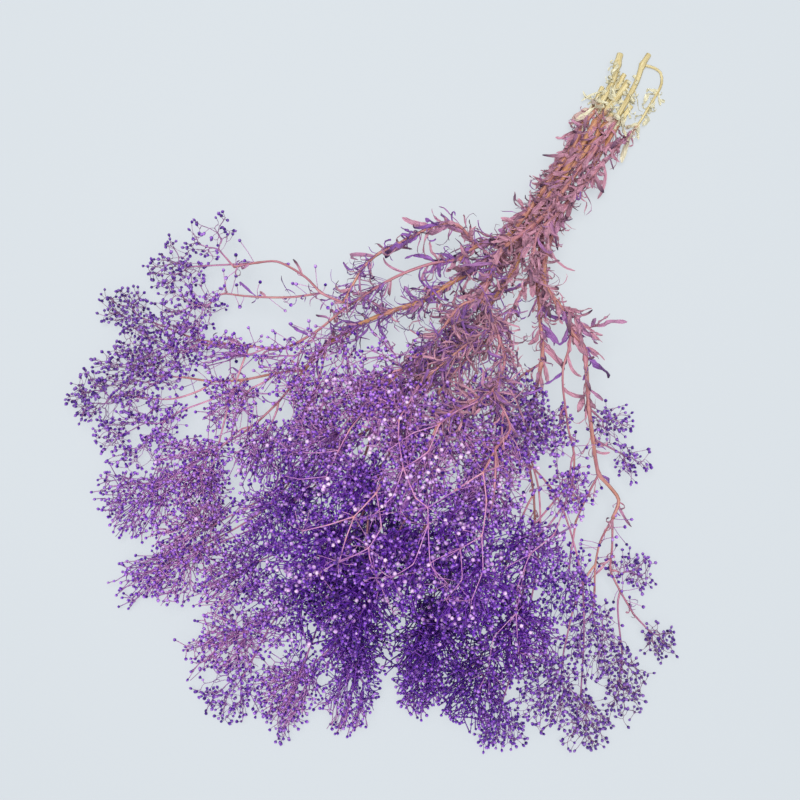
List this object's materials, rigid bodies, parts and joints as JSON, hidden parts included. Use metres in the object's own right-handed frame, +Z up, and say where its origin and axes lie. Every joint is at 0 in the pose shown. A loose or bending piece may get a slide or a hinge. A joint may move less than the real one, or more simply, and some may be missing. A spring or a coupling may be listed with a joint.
{
  "type": "bunch of dried flowering stems",
  "caption": "Loose bunch of dried, dyed flowering stems lying flat: slim leafy stalks that fork into wide airy sprays of tiny round buds.",
  "frame": {"origin": "middle of the bunch's outline seen from above, on the surface that it lies on", "axes": "+Y along the stalks towards their cut ends, +Z up from the surface, +X to the right when the cut ends point away"},
  "size_m": [0.4153, 0.4891, 0.109],
  "materials": {
    "tan_stem": "dry, finely ridged bark, straw at the cut ends and pink to mauve higher up",
    "mauve_stem": "dry, finely ridged, dyed mauve over straw",
    "violet_spray": "matt, papery buds and thread-thin twigs dyed violet"
  },
  "bodies": {
    "root": {"stem_1": "tan_stem", "stem_2": "tan_stem", "stem_3": "mauve_stem", "stem_4": "tan_stem", "stem_5": "tan_stem", "stem_6": "tan_stem", "stem_7": "tan_stem", "spray_01": "violet_spray", "spray_02": "violet_spray", "spray_03": "violet_spray", "spray_04": "violet_spray", "spray_05": "violet_spray", "spray_06": "violet_spray", "spray_07": "violet_spray", "spray_08": "violet_spray", "spray_09": "violet_spray", "spray_10": "violet_spray", "spray_11": "violet_spray", "spray_12": "violet_spray", "spray_13": "violet_spray", "spray_14": "violet_spray", "spray_15": "violet_spray", "spray_16": "violet_spray", "spray_17": "violet_spray", "spray_18": "violet_spray", "spray_19": "violet_spray", "spray_20": "violet_spray", "spray_21": "violet_spray", "spray_22": "violet_spray", "spray_23": "violet_spray", "spray_24": "violet_spray", "spray_25": "violet_spray", "spray_26": "violet_spray", "spray_27": "violet_spray", "spray_28": "violet_spray", "spray_29": "violet_spray", "spray_30": "violet_spray", "spray_31": "violet_spray", "spray_32": "violet_spray", "spray_33": "violet_spray", "spray_34": "violet_spray", "spray_35": "violet_spray", "spray_36": "violet_spray", "spray_37": "violet_spray", "spray_38": "violet_spray", "spray_39": "violet_spray", "spray_40": "violet_spray", "spray_41": "violet_spray", "spray_42": "violet_spray", "spray_43": "violet_spray", "spray_44": "violet_spray", "spray_45": "violet_spray", "spray_46": "violet_spray", "spray_47": "violet_spray", "spray_48": "violet_spray", "spray_49": "violet_spray", "spray_50": "violet_spray", "spray_51": "violet_spray", "spray_52": "violet_spray", "spray_53": "violet_spray"}
  },
  "joints": []
}
